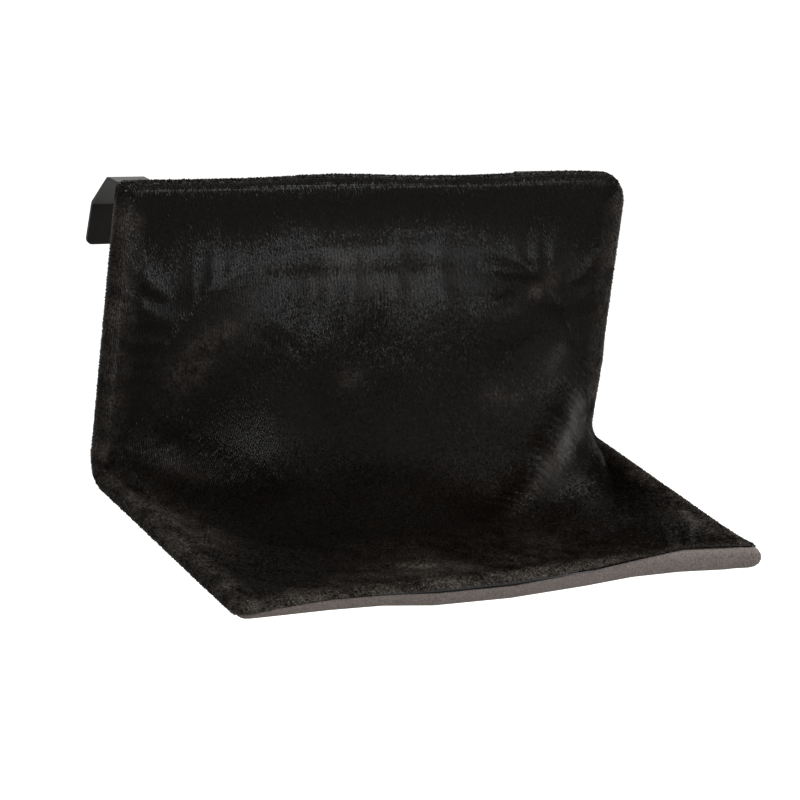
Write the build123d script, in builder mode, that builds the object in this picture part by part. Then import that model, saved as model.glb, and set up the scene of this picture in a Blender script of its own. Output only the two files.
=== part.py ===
from build123d import *
import os
from math import cos, radians, sin, tan

# A radiator cat hammock, in millimetres: a cloth cover on two bent steel tubes, hung from a radiator
# by two adjustable hooks. X runs to the right of someone who faces the seat, Y runs back over the
# radiator and Z runs up. The origin lies midway between the hook brackets, in the middle plane of
# the back frame's tube, on the plane of the brackets' undersides, which rests on the radiator.

# Tube frame
frame_width = 444.0
back_height = 216.8
seat_depth = 228.8
seat_fall_angle = 5.4
tube_radius = 5.0
tube_wall = 1.0
bend_radius = 18.0
leg_length = 30.0
spigot_length = 32.0
spigot_clearance = 0.1
neck_length = 3.0

# Frame screws
frame_screw_radius = 2.0
frame_screw_length = 6.5
frame_screw_head_radius = 3.5
frame_screw_head_height = 2.2
frame_screw_clearance = 0.1
frame_screw_slot_width = 0.8
frame_screw_slot_depth = 1.1

# Radiator hooks, bent from flat strip
hook_inset = 36.0
hook_width = 30.0
hook_thickness = 2.5
hook_bend_radius = 4.5
hook_corner_radius = 5.0
strap_end = 70.7
slope_run = 21.4
slope_drop = 24.3
leg_splay = 4.2
leg_drop = 33.5
slide_in = 15.0
slide_out = 14.0
slot_clearance = 0.2
slot_end_margin = 3.5

# Hook brackets, folded from sheet and welded under the top bar
bracket_wall = 3.0
cheek_wall = 2.5
bracket_front = 4.5
bracket_tail = 10.0
bracket_side_clearance = 0.25
lip_height = 1.0
strap_clearance = 0.1
bar_clearance = 1.7
weld_gap = 0.05
cheek_shoulder = 1.2
cheek_slope = 8.0

# Clamp screws and washers
clamp_y = 32.0
clamp_screw_radius = 2.5
clamp_head_radius = 5.0
clamp_head_height = 2.75
clamp_head_round = 1.2
clamp_key_across = 3.0
clamp_key_depth = 1.6
clamp_thread_clearance = 0.05
clamp_tip_gap = 0.3
washer_radius = 6.0
washer_thickness = 1.0
washer_clearance = 0.3
stack_clearance = 0.05

# Cloth cover
cloth_gap = 0.3
plush_thickness = 2.7
lining_thickness = 1.5
bowl_radius = 190.0
lining_bowl_radius = 56.0
seam_angle = 35.0
seam_gap_angle = 3.0
front_corner_lap = 4.0

# The cover's closure behind the top bar
flap_side_gap = 4.0
flap_drop = 48.0
tape_thickness = 0.8
tape_gap = 0.15
tape_height = 20.0
tape_drop = 24.0
tape_side_margin = 5.0
lining_top_drop = 18.3
lining_closure_height = 32.0

# Where the lofts have their sections, and how much of the bowl each has, from edge to middle
station_shares = (1.0, 0.93, 0.8, 0.6, 0.34, 0.0)
bowl_shares = (0.0, 0.3, 0.6, 0.84, 0.96, 1.0)

overrun = 1.0

half_width = frame_width / 2
bore_radius = tube_radius - tube_wall
spigot_radius = bore_radius - spigot_clearance
spigot_bore_radius = spigot_radius - tube_wall
strap_underside = bracket_wall + strap_clearance
strap_top = strap_underside + hook_thickness
strap_middle = strap_underside + hook_thickness / 2
bar_z = strap_top + bar_clearance + tube_radius
fold_z = bar_z - back_height
seat_fall = radians(seat_fall_angle)
fold_turn = radians(90 - seat_fall_angle)
seat_direction = Vector(0, -cos(seat_fall), -sin(seat_fall))
seat_up = Vector(0, -sin(seat_fall), cos(seat_fall))
fold_tangent = bend_radius * tan(fold_turn / 2)
sleeve_inner = tube_radius + cloth_gap
sleeve_outer = sleeve_inner + plush_thickness
hook_reach = half_width - hook_inset
hook_places = (("left", -hook_reach), ("right", hook_reach))
sides = (-1, 1)

os.makedirs("parts", exist_ok=True)


def finish(builder, name):
    """Label a finished piece and write it to its own file."""
    builder.part.label = name
    export_step(builder.part, f"parts/{name}.step")


def seat_point(x, along, up=0):
    """A point by its distance along the seat from the fold, and above the tubes' middle plane."""
    return Vector(x, 0, fold_z) + seat_direction * along + seat_up * up


def tube_section(outer, inner):
    Circle(outer)
    Circle(inner, mode=Mode.SUBTRACT)


# Back frame: the top bar, the uprights, the fold bends and the legs that the seat frame is pushed on to
with BuildPart() as back_frame:
    with BuildLine():
        FilletPolyline(
            seat_point(-half_width, leg_length),
            seat_point(-half_width, 0),
            Vector(-half_width, 0, bar_z),
            Vector(half_width, 0, bar_z),
            seat_point(half_width, 0),
            seat_point(half_width, leg_length),
            radius=bend_radius,
        )
    with BuildSketch(Plane(seat_point(-half_width, leg_length), z_dir=-seat_direction)):
        tube_section(tube_radius, bore_radius)
    sweep()
    for side in sides:
        neck_plane = Plane(seat_point(side * half_width, leg_length - neck_length), z_dir=seat_direction)
        with BuildSketch(neck_plane):
            tube_section(bore_radius, spigot_bore_radius)
        extrude(amount=neck_length)
        with BuildSketch(neck_plane):
            tube_section(spigot_radius, spigot_bore_radius)
        extrude(amount=neck_length + spigot_length)
        screw_point = seat_point(side * half_width, leg_length + spigot_length / 2)
        with BuildSketch(Plane(screw_point, z_dir=(-side, 0, 0))):
            Circle(frame_screw_radius + frame_screw_clearance)
        extrude(amount=tube_radius, mode=Mode.SUBTRACT)
finish(back_frame, "back_frame")

# Seat frame: the front bar and both arms
with BuildPart() as seat_frame:
    with BuildLine():
        FilletPolyline(
            seat_point(-half_width, leg_length),
            seat_point(-half_width, seat_depth),
            seat_point(half_width, seat_depth),
            seat_point(half_width, leg_length),
            radius=bend_radius,
        )
    with BuildSketch(Plane(seat_point(-half_width, leg_length), z_dir=seat_direction)):
        tube_section(tube_radius, bore_radius)
    sweep()
    for side in sides:
        screw_point = seat_point(side * half_width, leg_length + spigot_length / 2)
        with BuildSketch(Plane(screw_point, z_dir=(-side, 0, 0))):
            Circle(frame_screw_radius + frame_screw_clearance)
        extrude(amount=tube_radius + overrun, mode=Mode.SUBTRACT)
finish(seat_frame, "seat_frame")

# Frame screws: one through the inner side of each joint
with BuildPart() as frame_screws:
    for side in sides:
        screw_point = seat_point(side * (half_width - tube_radius), leg_length + spigot_length / 2)
        head_plane = Plane(screw_point, x_dir=seat_direction, z_dir=(-side, 0, 0))
        with BuildSketch(head_plane):
            Circle(frame_screw_head_radius)
        extrude(amount=frame_screw_head_height)
        with BuildSketch(head_plane):
            Circle(frame_screw_radius)
        extrude(amount=-frame_screw_length)
        with BuildSketch(head_plane.offset(frame_screw_head_height)):
            Rectangle(2 * frame_screw_head_radius, frame_screw_slot_width)
        extrude(amount=-frame_screw_slot_depth, mode=Mode.SUBTRACT)
finish(frame_screws, "frame_screws")

# Hook brackets: a channel that guides the hook, with cheeks that cradle the top bar
bracket_width = hook_width + 2 * (bracket_side_clearance + cheek_wall)
bracket_rear = clamp_y + bracket_tail
lip_top = strap_top + lip_height
for side_name, hook_x in hook_places:
    with BuildPart() as hook_bracket:
        with BuildSketch(Plane.XY):
            with Locations((hook_x, (bracket_rear - bracket_front) / 2)):
                Rectangle(bracket_width, bracket_rear + bracket_front)
        extrude(amount=bracket_wall)
        for side in sides:
            outer_x = hook_x + side * bracket_width / 2
            with BuildSketch(Plane.YZ.offset(outer_x)):
                with BuildLine():
                    Polyline(
                        (-bracket_front, 0),
                        (bracket_rear, 0),
                        (bracket_rear, lip_top),
                        (tube_radius + cheek_slope, lip_top),
                        (tube_radius, bar_z - cheek_shoulder),
                        (-bracket_front, bar_z - cheek_shoulder),
                        close=True,
                    )
                make_face()
            extrude(amount=-side * cheek_wall)
        with BuildSketch(Plane.YZ.offset(hook_x - bracket_width / 2)):
            with Locations((0, bar_z)):
                Circle(tube_radius + weld_gap)
        extrude(amount=bracket_width, mode=Mode.SUBTRACT)
        with Locations((hook_x, clamp_y, bracket_wall)):
            Hole(clamp_screw_radius + clamp_thread_clearance, depth=bracket_wall)
        lower_edges = hook_bracket.edges().filter_by(Axis.Y).group_by(Axis.Z)[0]
        fillet(lower_edges, radius=cheek_wall / 2)
    finish(hook_bracket, f"hook_bracket_{side_name}")

# Radiator hooks: a slotted strap, a sloping stretch and a slightly splayed leg behind the radiator
slot_half_width = clamp_screw_radius + slot_clearance
slot_front = clamp_y - slot_half_width - slide_out
slot_rear = clamp_y + slot_half_width + slide_in
hook_front = slot_front - slot_end_margin
leg_top = (strap_end + slope_run, strap_middle - slope_drop)
leg_end = (leg_top[0] + leg_splay, leg_top[1] - leg_drop)
for side_name, hook_x in hook_places:
    with BuildPart() as radiator_hook:
        with BuildSketch(Plane.YZ.offset(hook_x - hook_width / 2)):
            with BuildLine():
                FilletPolyline(
                    (hook_front, strap_middle),
                    (strap_end, strap_middle),
                    leg_top,
                    leg_end,
                    radius=hook_bend_radius,
                )
            trace(line_width=hook_thickness)
        extrude(amount=hook_width)
        with BuildSketch(Plane.XY.offset(strap_top)):
            with Locations((hook_x, (slot_front + slot_rear) / 2)):
                SlotOverall(slot_rear - slot_front, 2 * slot_half_width, rotation=90)
        extrude(amount=-hook_thickness, mode=Mode.SUBTRACT)
        short_edges = radiator_hook.edges().filter_by(lambda edge: edge.length < 2 * hook_thickness)
        fillet(short_edges.sort_by(Axis.Z)[:2], radius=hook_corner_radius)
        short_edges = radiator_hook.edges().filter_by(lambda edge: edge.length < 2 * hook_thickness)
        fillet(short_edges.sort_by(Axis.Y)[:2], radius=hook_thickness)
    finish(radiator_hook, f"radiator_hook_{side_name}")

# Clamp washers and low round-headed screws with a hex socket
washer_z = strap_top + stack_clearance
head_z = washer_z + washer_thickness
for side_name, hook_x in hook_places:
    with BuildPart() as clamp_washer:
        with BuildSketch(Plane.XY.offset(washer_z)):
            with Locations((hook_x, clamp_y)):
                tube_section(washer_radius, clamp_screw_radius + washer_clearance)
        extrude(amount=washer_thickness)
    finish(clamp_washer, f"clamp_washer_{side_name}")

    with BuildPart() as clamp_screw:
        with BuildSketch(Plane.XY.offset(head_z)):
            with Locations((hook_x, clamp_y)):
                Circle(clamp_head_radius)
        extrude(amount=clamp_head_height)
        fillet(clamp_screw.edges().group_by(Axis.Z)[-1], radius=clamp_head_round)
        with BuildSketch(Plane.XY.offset(head_z)):
            with Locations((hook_x, clamp_y)):
                Circle(clamp_screw_radius)
        extrude(amount=-(head_z - clamp_tip_gap))
        with BuildSketch(Plane.XY.offset(head_z + clamp_head_height)):
            with Locations((hook_x, clamp_y)):
                RegularPolygon(clamp_key_across / 2, side_count=6, major_radius=False)
        extrude(amount=-clamp_key_depth, mode=Mode.SUBTRACT)
    finish(clamp_screw, f"clamp_screw_{side_name}")


def fold_corner(offset):
    """Where the back and seat lines at an offset from the tubes' middle would meet, as (y, z)."""
    along = offset * (1 - sin(seat_fall)) / cos(seat_fall)
    corner = seat_point(0, along, offset)
    return corner.Y, corner.Z


def draw_cloth_line(offset, radius, top_points):
    """Draw one side of a cloth sheet from its top to its front edge, and return its two ends."""
    corner_y, corner_z = fold_corner(offset)
    tangent = radius * tan(fold_turn / 2)
    back_end = (corner_y, corner_z + tangent)
    seat_start = (corner_y - tangent * cos(seat_fall), corner_z - tangent * sin(seat_fall))
    centre_share = 1 - cos(fold_turn / 2)
    arc_middle = (corner_y - radius * centre_share, corner_z + tangent * centre_share)
    front_end = seat_point(0, seat_depth, offset)
    Polyline(*top_points, back_end)
    ThreePointArc(back_end, arc_middle, seat_start)
    Line(seat_start, (front_end.Y, front_end.Z))
    return top_points[0], (front_end.Y, front_end.Z)


def cloth_sections(width, near, far, middle_radius, near_top, far_top):
    """Sections across a cloth sheet, its fold widening from the side tubes to the middle."""
    half_stations = list(zip(station_shares, bowl_shares))
    stations = [(-share, bowl) for share, bowl in half_stations]
    stations += half_stations[-2::-1]
    sections = []
    for share, bowl in stations:
        radius = bend_radius + (middle_radius - bend_radius) * bowl
        with BuildSketch(Plane.YZ.offset(share * width)) as section:
            with BuildLine():
                near_start, near_end = draw_cloth_line(near, radius - near, near_top)
                far_start, far_end = draw_cloth_line(far, radius - far, far_top)
                Line(near_start, far_start)
                Line(near_end, far_end)
            make_face()
        sections.append(section.sketch)
    return sections


def draw_wrap(side, start_angle, end_angle, inner, outer):
    """Draw part of a ring about a tube, its angles turning outwards from the cat's side of the tube."""
    first_angle = 90 - end_angle if side > 0 else start_angle - 90
    with BuildLine() as outline:
        inner_arc = CenterArc((0, 0), inner, first_angle, end_angle - start_angle)
        outer_arc = CenterArc((0, 0), outer, first_angle, end_angle - start_angle)
        Line(inner_arc @ 0, outer_arc @ 0)
        Line(inner_arc @ 1, outer_arc @ 1)
    make_face(outline.edges())


def cut_corners(plane, corner_z, outward, radius):
    """Round two corners of a sheet to the frame's bends, in the plane of the tubes."""
    for side in sides:
        across = Align.MIN if side > 0 else Align.MAX
        upwards = Align.MIN if outward > 0 else Align.MAX
        with BuildSketch(plane) as waste:
            with Locations((side * (half_width - bend_radius), corner_z - outward * bend_radius)):
                Rectangle(bend_radius + overrun, bend_radius + overrun, align=(across, upwards))
                Circle(radius, mode=Mode.SUBTRACT)
        extrude(waste.sketch, amount=sleeve_outer + overrun, both=True, mode=Mode.SUBTRACT)


# Plush panel: the sheet that the cat lies on, its sleeves round the tubes and its closing flap
back_plane = Plane.XZ
seat_plane = Plane(seat_point(0, 0), x_dir=(1, 0, 0), z_dir=seat_up)
fold_top = Vector(0, 0, fold_z + fold_tangent)
band_half_width = half_width - bend_radius - front_corner_lap
flap_half_width = hook_reach - bracket_width / 2 - flap_side_gap
half_ring_angle = 180
front_bar_plane = Plane(seat_point(0, seat_depth), x_dir=seat_direction, z_dir=(-1, 0, 0))
with BuildPart() as plush_panel:
    loft(
        cloth_sections(
            half_width,
            sleeve_inner,
            sleeve_outer,
            bowl_radius,
            [(-sleeve_inner, bar_z)],
            [(-sleeve_outer, bar_z)],
        )
    )
    cut_corners(back_plane, bar_z, 1, bend_radius)
    cut_corners(seat_plane, -seat_depth, -1, bend_radius)
    for side in sides:
        side_x = Vector(side * half_width, 0, 0)
        with BuildLine():
            FilletPolyline(
                Vector(0, 0, bar_z),
                side_x + Vector(0, 0, bar_z),
                side_x + fold_top,
                radius=bend_radius,
            )
        with BuildSketch(Plane((0, 0, bar_z), x_dir=(0, 0, 1), z_dir=(side, 0, 0))):
            draw_wrap(side, 0, half_ring_angle, sleeve_inner, sleeve_outer)
        sweep()
        with BuildLine():
            TangentArc(
                side_x + fold_top,
                seat_point(side * half_width, fold_tangent),
                tangent=(0, 0, -1),
            )
        with BuildSketch(Plane(side_x + fold_top, x_dir=(side, 0, 0), z_dir=(0, 0, -1))):
            draw_wrap(side, 0, half_ring_angle, sleeve_inner, sleeve_outer)
        sweep()
        with BuildLine():
            FilletPolyline(
                seat_point(side * half_width, fold_tangent),
                seat_point(side * half_width, seat_depth),
                seat_point(side * band_half_width, seat_depth),
                radius=bend_radius,
            )
        arm_start = seat_point(side * half_width, fold_tangent)
        with BuildSketch(Plane(arm_start, x_dir=(side, 0, 0), z_dir=seat_direction)):
            draw_wrap(side, 0, half_ring_angle, sleeve_inner, sleeve_outer)
        sweep()
    with BuildSketch(front_bar_plane):
        draw_wrap(1, 0, seam_angle, sleeve_inner, sleeve_outer)
    extrude(amount=band_half_width, both=True)
    with BuildSketch(Plane.XY.offset(bar_z)):
        with Locations((0, (sleeve_inner + sleeve_outer) / 2)):
            Rectangle(2 * flap_half_width, plush_thickness)
    extrude(amount=-flap_drop)
finish(plush_panel, "plush_panel")

# Closure tapes: one sewn to the flap and one to the lining's top edge
hook_tape_y = sleeve_outer + tape_gap
loop_tape_y = hook_tape_y + tape_thickness + tape_gap
closure_y = loop_tape_y + tape_thickness + cloth_gap
for tape_name, tape_y in (("closure_hook_tape", hook_tape_y), ("closure_loop_tape", loop_tape_y)):
    with BuildPart() as closure_tape:
        with BuildSketch(Plane.XY.offset(bar_z - tape_drop)):
            with Locations((0, tape_y + tape_thickness / 2)):
                Rectangle(2 * (flap_half_width - tape_side_margin), tape_thickness)
        extrude(amount=-tape_height)
    finish(closure_tape, tape_name)

# Lining panel: the sheet behind the back and under the seat, and the band round the front bar
lining_inner = sleeve_inner
lining_outer = lining_inner + lining_thickness
lining_top_z = bar_z - lining_top_drop
closure_end_z = lining_top_z - lining_closure_height
closure_rear = closure_y + lining_thickness
with BuildPart() as lining_panel:
    loft(
        cloth_sections(
            half_width - cloth_gap,
            -lining_inner,
            -lining_outer,
            lining_bowl_radius,
            [(closure_y, lining_top_z), (closure_y, closure_end_z)],
            [(closure_rear, lining_top_z), (closure_rear, closure_end_z)],
        )
    )
    cut_corners(seat_plane, -seat_depth, -1, bend_radius - cloth_gap)
    with BuildSketch(front_bar_plane):
        draw_wrap(1, seam_angle + seam_gap_angle, half_ring_angle, lining_inner, lining_outer)
    extrude(amount=band_half_width - cloth_gap, both=True)
finish(lining_panel, "lining_panel")
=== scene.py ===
"""A radiator cat hammock: plush cover, felt lining, closure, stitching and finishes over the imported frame."""

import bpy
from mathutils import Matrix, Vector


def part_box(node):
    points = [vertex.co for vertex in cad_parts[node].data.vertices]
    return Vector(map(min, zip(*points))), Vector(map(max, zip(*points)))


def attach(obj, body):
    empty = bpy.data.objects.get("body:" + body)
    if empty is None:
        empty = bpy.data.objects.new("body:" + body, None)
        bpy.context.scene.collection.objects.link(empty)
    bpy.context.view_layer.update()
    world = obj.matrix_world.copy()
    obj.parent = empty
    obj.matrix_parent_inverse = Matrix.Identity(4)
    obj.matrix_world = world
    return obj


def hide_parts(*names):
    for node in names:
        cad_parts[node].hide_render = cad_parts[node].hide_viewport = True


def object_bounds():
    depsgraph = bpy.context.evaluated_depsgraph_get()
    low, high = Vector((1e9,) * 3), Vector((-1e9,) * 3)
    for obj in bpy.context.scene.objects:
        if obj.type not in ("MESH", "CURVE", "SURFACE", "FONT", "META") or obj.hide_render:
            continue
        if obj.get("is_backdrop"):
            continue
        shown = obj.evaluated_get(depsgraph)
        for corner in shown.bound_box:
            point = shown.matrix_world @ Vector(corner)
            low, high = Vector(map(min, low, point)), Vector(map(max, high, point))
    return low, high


bl_info = {
    "name": "Radiator Cat Hammock",
    "version": (1, 0, 0),
    "blender": (4, 5, 0),
    "location": "View3D > Sidebar > Hammock",
    "description": "Dresses a radiator cat hammock in plush, felt and powder-coated steel",
    "category": "Object",
}

import math

import bmesh
import bpy
import numpy as np
from mathutils import Matrix, Vector

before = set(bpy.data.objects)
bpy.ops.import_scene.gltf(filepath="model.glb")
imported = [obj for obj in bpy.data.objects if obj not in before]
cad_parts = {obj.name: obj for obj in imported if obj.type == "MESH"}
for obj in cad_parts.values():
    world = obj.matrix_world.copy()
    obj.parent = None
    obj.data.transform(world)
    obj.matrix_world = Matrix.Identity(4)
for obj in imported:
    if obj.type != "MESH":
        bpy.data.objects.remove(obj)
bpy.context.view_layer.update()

MM = 0.001
BODY = "hammock"

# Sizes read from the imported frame, in metres
_, back_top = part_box("back_frame")
seat_low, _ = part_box("seat_frame")
tape_low, tape_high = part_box("closure_hook_tape")
_, lining_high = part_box("lining_panel")
TUBE_RADIUS = back_top.y
HALF_WIDTH = back_top.x - TUBE_RADIUS
BAR_Z = back_top.z - TUBE_RADIUS

# The tubes' bends and the seat's slope, as the part has them, and the cover's sizes that follow
BEND_RADIUS = 18 * MM
SEAT_FALL = math.radians(5.4)
FOLD_TURN = math.radians(90) - SEAT_FALL
SEAT_DEPTH = -(seat_low.y + TUBE_RADIUS) / math.cos(SEAT_FALL)
BACK_HEIGHT = BAR_Z - (seat_low.z + TUBE_RADIUS + SEAT_DEPTH * math.sin(SEAT_FALL))
LENGTH = BACK_HEIGHT + SEAT_DEPTH  # from the top bar down the back and out to the front bar
HALF_TURN = math.pi
CLOSURE_END = BAR_Z - tape_low.z + 6 * MM  # how far down the back the closure reaches
HEM = 11 * MM  # height of the felt's double hem behind the top bar
FREE_FROM = 70 * MM  # from this far down the back the cloth sags in full
FRONT_FADE = 26 * MM  # how far behind the front bar the cover takes on the front seam's shape
MIX_A, MIX_B, MIX_RESULT = 6, 7, 2  # the colour sockets of a Mix node


def linear(code):
    """An sRGB hex colour as the linear red, green and blue that a shader takes."""
    shares = (int(code[i : i + 2], 16) / 255 for i in (0, 2, 4))
    return tuple(c / 12.92 if c <= 0.04045 else ((c + 0.055) / 1.055) ** 2.4 for c in shares)


def length(name, description, default):
    return bpy.props.FloatProperty(
        name=name, description=description, default=default, subtype="DISTANCE", unit="LENGTH", precision=5
    )


def share(name, description, default):
    return bpy.props.FloatProperty(name=name, description=description, default=default, subtype="FACTOR")


def angle(name, description, degrees):
    return bpy.props.FloatProperty(
        name=name, description=description, default=math.radians(degrees), subtype="ANGLE", unit="ROTATION"
    )


def colour(name, description, code):
    return bpy.props.FloatVectorProperty(
        name=name, description=description, default=linear(code), size=3, subtype="COLOR", min=0, max=1
    )


class PlushSettings(bpy.types.PropertyGroup):
    bowl_radius: length("Bowl Radius", "Radius of the slack bowl midway between the side tubes", 190 * MM)
    backing_reach: length("Backing Reach", "From a tube's middle to the middle of the backing", 5.8 * MM)
    backing: length("Backing", "Thickness of the knitted backing", 1.0 * MM)
    flap_drop: length("Flap Drop", "How far the closing flap hangs behind the top bar", 48 * MM)
    slack: share("Slack", "How much longer the cloth is than its stretched shape", 0.003)
    most_sag: length("Most Sag", "The furthest that the cloth may move as it hangs", 6 * MM)
    tuft_gap: length("Tuft Gap", "Spacing of the tufts, drawn coarser than yarn so that they show", 1.25 * MM)
    pile: length("Pile", "From the middle of the backing to where the tufts' tips part", 1.6 * MM)
    tuft: length("Tuft", "Length of the part of a tuft that stands free", 1.6 * MM)
    lean: angle("Lean", "How far a tuft stands up from the backing", 24)
    pile_colour: colour("Pile Colour", "Colour of the pile", "0b0704")
    # Painted sheen: the paler colour painted onto the pile where it stands in for its sheen and highlights
    painted_sheen_colour: colour("Rubbed Colour", "Colour of the pile where it is rubbed", "514b46")
    root_colour: colour("Root Colour", "Colour of the knitted backing between the tufts", "0d0a09")
    sheen_colour: colour("Sheen Colour", "Cool light that silky fibres throw back", "c8cccf")
    gloss: share("Gloss", "Strength of the fibres' clear highlights", 0.11)


class LiningSettings(bpy.types.PropertyGroup):
    bowl_radius: length("Bowl Radius", "Radius of the lining's inner fold", 56 * MM)
    reach: length("Reach", "From a tube's middle to the middle of the felt", 6.05 * MM)
    felt: length("Felt", "Thickness of the felt", 1.4 * MM)
    slack: share("Slack", "How much longer the felt is than its stretched shape", 0.004)
    most_sag: length("Most Sag", "The furthest that the felt may move as it hangs", 4 * MM)
    band_sag: share("Band Sag", "How much of its full sag the band under the front bar has", 1.0)
    felt_colour: colour("Felt Colour", "Colour of the brushed felt", "524a46")
    fibre_colour: colour("Fibre Colour", "Colour of its paler fibres", "766d68")
    thread_colour: colour("Thread Colour", "Colour of the stitching thread", "2e2a28")


class ClosureSettings(bpy.types.PropertyGroup):
    weave: length("Weave", "Thickness of the woven tape under its hooks or loops", 0.45 * MM)
    tape_colour: colour("Tape Colour", "Colour of the nylon tape", "17171a")
    weave_colour: colour("Weave Colour", "Colour of the paler threads in its weave", "2a2a2e")


class MetalSettings(bpy.types.PropertyGroup):
    hook_colour: colour("Hook Colour", "Colour of the powder coat on the hooks and brackets", "0f0b07")
    tube_colour: colour("Tube Colour", "Colour of the powder coat on the tubes", "1b1b1c")
    zinc_colour: colour("Zinc Colour", "Colour of the plating on the screws and washers", "c4c7ca")


class StageSettings(bpy.types.PropertyGroup):
    camera_place: bpy.props.FloatVectorProperty(
        name="Camera Place", description="Where the camera stands", default=(-1.18919, -1.81507, 0.47764),
        size=3, subtype="XYZ", unit="LENGTH",
    )
    lens: bpy.props.FloatProperty(name="Lens", description="Focal length in millimetres", default=130.0)
    floor_drop: length("Floor Drop", "From the object's lowest point down to the floor", 0.55)


def feed(tree, node, inputs):
    """Feed a node's inputs from values or from other nodes' sockets."""
    for name, value in inputs.items():
        if isinstance(value, bpy.types.NodeSocket):
            tree.links.new(value, node.inputs[name])
        else:
            node.inputs[name].default_value = value


def add(tree, kind, inputs=None, output=0, **settings):
    """Add one shader node, with its settings and inputs, and return the output that is asked for."""
    node = tree.nodes.new("ShaderNode" + kind)
    for name, value in settings.items():
        setattr(node, name, value)
    feed(tree, node, inputs or {})
    return node.outputs[output]


def start_material(name):
    """A new material with an empty Principled surface, and its tree and shader."""
    material = bpy.data.materials.new(name)
    material.use_nodes = True
    shader = material.node_tree.nodes["Principled BSDF"]
    return material, material.node_tree, shader


def rgba(values):
    return (*values, 1.0)


def dress(piece, node_names, body=BODY):
    """Ride the CAD body and stand for the CAD nodes, which are hidden."""
    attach(piece, body)
    if node_names:
        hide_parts(*node_names)


def to_object(bm, name, materials):
    """Write a bmesh to a new object, smooth shaded."""
    bm.normal_update()
    mesh = bpy.data.meshes.new(name)
    bm.to_mesh(mesh)
    bm.free()
    for material in materials:
        mesh.materials.append(material)
    mesh.shade_smooth()
    piece = bpy.data.objects.new(name, mesh)
    bpy.context.scene.collection.objects.link(piece)
    return piece


def apply_modifiers(piece):
    """Put the modifiers' result in the piece's own mesh."""
    depsgraph = bpy.context.evaluated_depsgraph_get()
    made = bpy.data.meshes.new_from_object(piece.evaluated_get(depsgraph), depsgraph=depsgraph)
    old = piece.data
    piece.modifiers.clear()
    piece.data = made
    made.name = piece.name
    bpy.data.meshes.remove(old)


def thicken(piece, thickness):
    """Give a sheet its thickness, half of it on each side."""
    wall = piece.modifiers.new("Thickness", "SOLIDIFY")
    wall.thickness = thickness
    wall.offset = 0
    apply_modifiers(piece)


def ramp(value, start, end):
    """0 at start and before it, 1 at end and after it, and straight between them."""
    return np.clip((value - start) / (end - start), 0, 1)


def middle_surface(x, s, middle_radius):
    """Point, path direction and cat's-side normal of a sheet on the tubes' middle plane.

    x runs across, and s runs down the back and out along the seat from the top bar's middle.
    """
    width_share = np.clip(np.abs(x) / HALF_WIDTH, 0, 1)
    radius = BEND_RADIUS + (middle_radius - BEND_RADIUS) * (1 - width_share**4)
    tangent = radius * math.tan(FOLD_TURN / 2)
    start = BACK_HEIGHT - tangent
    turn = np.clip((s - start) / (2 * tangent), 0, 1) * FOLD_TURN
    along = np.maximum(s - start - 2 * tangent, 0)
    zero = np.zeros_like(turn)
    direction = np.stack([zero, -np.sin(turn), -np.cos(turn)], -1)
    normal = np.stack([zero, -np.cos(turn), np.sin(turn)], -1)
    y = -radius * (1 - np.cos(turn))
    z = BAR_Z - np.minimum(s, start) - radius * np.sin(turn)
    return np.stack([x, y, z], -1) + along[..., None] * direction, direction, normal


def round_corners(x, s, margin):
    """Bend the square corners of a flat grid round the frame's bends."""
    size = BEND_RADIUS + margin
    far = s > LENGTH / 2
    a = (np.abs(x) - (HALF_WIDTH - BEND_RADIUS)) / size
    b = np.where(far, s - (LENGTH - BEND_RADIUS), BEND_RADIUS - s) / size
    corner = (a > 0) & (b > 0)
    a, b = np.maximum(a, 1e-9), np.maximum(b, 1e-9)
    reach = np.maximum(a, b) * size
    quarter = math.pi / 4
    turn = np.where(a >= b, quarter * b / a, 2 * quarter - quarter * a / b)
    bent_x = np.sign(x) * (HALF_WIDTH - BEND_RADIUS + reach * np.cos(turn))
    rise = BEND_RADIUS - reach * np.sin(turn)
    bent_s = np.where(far, LENGTH - rise, rise)
    return np.where(corner, bent_x, x), np.where(corner, bent_s, s)


def nearest_on_loop(x, s):
    """How far a flat point lies outside the tubes' middle line, its nearest point there and the way out."""
    core_x = np.clip(x, BEND_RADIUS - HALF_WIDTH, HALF_WIDTH - BEND_RADIUS)
    core_s = np.clip(s, BEND_RADIUS, LENGTH - BEND_RADIUS)
    away = np.hypot(x - core_x, s - core_s)
    safe = np.maximum(away, 1e-9)
    out_x, out_s = (x - core_x) / safe, (s - core_s) / safe
    outside = away - BEND_RADIUS
    near_x = np.where(outside > 0, core_x + out_x * BEND_RADIUS, x)
    near_s = np.where(outside > 0, core_s + out_s * BEND_RADIUS, s)
    return outside, near_x, near_s, out_x, out_s


# Along the front bar, by share of the width: the seam's angle from above the bar (0) over its front (90),
# how many millimetres the cover stands off the bar at the seam, and how many the band sags under it
FRONT_STOPS = (-1.0, -0.9, -0.7, -0.5, -0.3, 0.0, 0.3, 0.5, 0.7, 0.9, 1.0)
SEAM_DEGREES = (100, 72, 54, 62, 72, 74, 56, 30, 4, 3, 3)
STAND_OFF = (0.0, 0.0, 0.2, 0.4, 0.6, 0.8, 2.2, 3.4, 5.0, 2.6, 1.4)
BAND_SAG = (0.0, 0.0, 0.0, 1.2, 5.6, 6.4, 3.4, 0.2, 0.2, 2.4, 2.0)
SEAM_GAP = math.radians(4)  # between the plush's edge and the felt band's, round the bar

# Round the front corners the seam comes out from under the tube: how far short of the front bar that starts at
# the left and at the right, and over what length, as shares of the bend's radius
OUT_LEFT, OUT_RIGHT, OUT_OVER = 0.62, 0.68, 0.32


def along_front(near_x, values):
    """One of the lists above at places across the front bar."""
    return np.interp(near_x / HALF_WIDTH, FRONT_STOPS, values)


def near_front(near_s):
    """How much of the front seam's shape the cover has: all at the front bar, fading out behind it."""
    return np.exp(-((np.minimum(near_s - LENGTH, 0) / FRONT_FADE) ** 2))


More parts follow.
